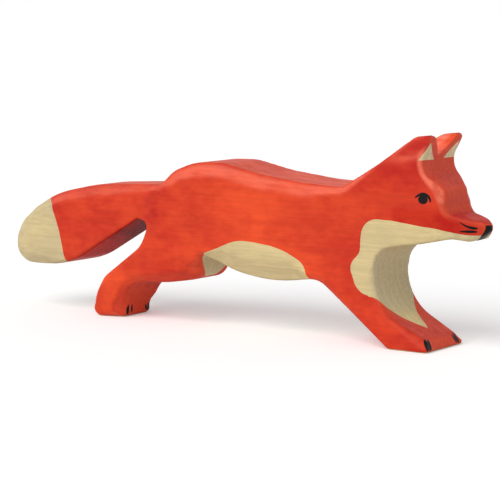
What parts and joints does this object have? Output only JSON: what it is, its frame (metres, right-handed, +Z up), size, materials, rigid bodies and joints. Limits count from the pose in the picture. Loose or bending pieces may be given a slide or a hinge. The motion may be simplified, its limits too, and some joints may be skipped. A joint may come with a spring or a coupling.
{
  "type": "fox figurine",
  "caption": "Running fox toy sawn from one flat maple board, with red stained sides, bare tail tip, belly, throat and ear fronts, and black painted face and claws.",
  "frame": {"origin": "on the surface that the fox stands on, below the middle of its length and thickness", "axes": "+X towards the nose, +Y towards the fox's left side, +Z up"},
  "size_m": [0.195, 0.024, 0.07],
  "materials": {
    "bare_maple": "bare fine-sanded maple, matt",
    "red_stain": "translucent red-orange stain with the grain showing, satin",
    "black_paint": "black brush paint, satin"
  },
  "bodies": {
    "root": {"wooden_body": "bare_maple", "red_stain": "red_stain", "nose_tip": "black_paint", "left_eye": "black_paint", "right_eye": "black_paint", "left_mouth": "black_paint", "right_mouth": "black_paint", "front_left_claws": "black_paint", "front_right_claws": "black_paint", "hind_left_claws": "black_paint", "hind_right_claws": "black_paint"}
  },
  "joints": []
}
